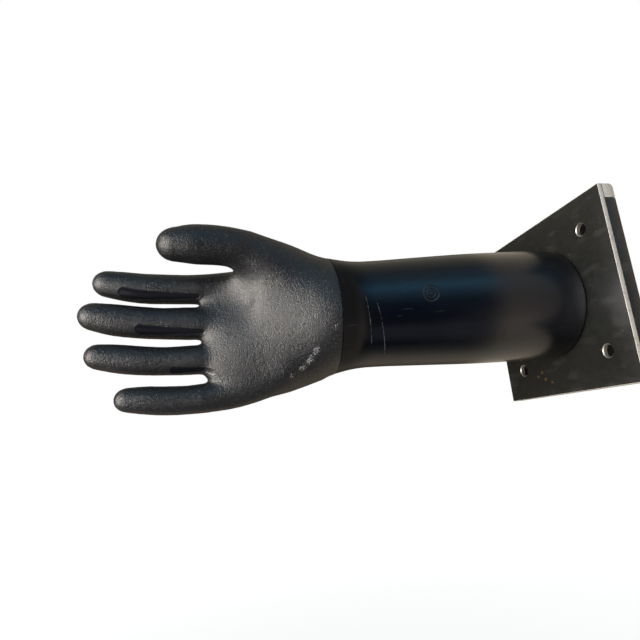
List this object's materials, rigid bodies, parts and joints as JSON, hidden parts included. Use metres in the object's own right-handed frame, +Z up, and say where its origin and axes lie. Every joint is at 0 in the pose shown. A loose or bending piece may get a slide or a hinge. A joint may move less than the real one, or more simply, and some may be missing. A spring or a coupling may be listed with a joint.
{
  "type": "glove dipping former",
  "caption": "Hand-shaped former on a turned forearm, drawn by a central bolt onto a framed square mounting plate with corner holes.",
  "frame": {"origin": "middle of the rear face of the bottom frame bar, on the plane where the mounting seats; the forearm's axis is parallel to X, 79.4 mm above it", "axes": "X along the forearm's axis, -X towards the fingertips and +X out of the back of the mounting; +Z up, from the little finger to the thumb; +Y from the palm to the back of the hand"},
  "size_m": [0.4398, 0.176, 0.1686],
  "materials": {
    "blasted_coating": "blasted semi-gloss charcoal release coating on cast aluminium",
    "polished_coating": "polished gloss black release coating on turned aluminium",
    "mill_steel": "hot-rolled steel plate and bar with dark mill scale, light rust specks and bare cut edges",
    "bright_steel": "machined bright steel",
    "zinc_steel": "zinc plated steel fasteners",
    "cast_alloy": "machined cast aluminium",
    "bronze": "machined bronze",
    "gasket_rubber": "matt black rubber"
  },
  "bodies": {
    "mounting": {"face_plate": "mill_steel", "spacer_boss_1": "mill_steel", "spacer_boss_2": "mill_steel", "spacer_boss_3": "mill_steel", "spacer_boss_4": "mill_steel", "frame_bar_top": "mill_steel", "frame_bar_bottom": "mill_steel", "frame_bar_near": "mill_steel", "frame_bar_far": "mill_steel", "locating_spigot": "cast_alloy", "spigot_screw_1": "zinc_steel", "spigot_screw_2": "zinc_steel", "spigot_screw_3": "zinc_steel", "spigot_screw_4": "zinc_steel", "key_pin_near": "bright_steel", "key_pin_far": "bright_steel", "foot_gasket": "gasket_rubber", "bolt_washer": "zinc_steel"},
    "bolt": {"draw_bolt": "bright_steel", "captive_collar": "bronze", "collar_pin": "bright_steel"},
    "former": {"hand_shell": "blasted_coating", "forearm_tube": "polished_coating", "wrist_plug": "cast_alloy", "wrist_screw_upper": "zinc_steel", "wrist_screw_lower": "zinc_steel", "tie_rod": "zinc_steel", "tie_rod_washer": "zinc_steel", "tie_rod_nut": "zinc_steel", "foot_bulkhead": "cast_alloy", "draw_socket": "bright_steel", "socket_screw_1": "zinc_steel", "socket_screw_2": "zinc_steel", "socket_screw_3": "zinc_steel", "socket_screw_4": "zinc_steel"}
  },
  "joints": [
    {"name": "draw_bolt_turn", "type": "hinge", "parent": "mounting", "child": "bolt", "pos_m": [-0.015, 0, 0.0794], "axis": [1, 0, 0], "range_deg": [0, 2160]},
    {"name": "former_draw", "type": "slide", "parent": "mounting", "child": "former", "axis": [-1, 0, 0], "range_m": [0, 0.0105]}
  ],
  "couplings": [
    {"joint": "draw_bolt_turn", "follows": "former_draw", "rad_per_m": 3590.4}
  ]
}
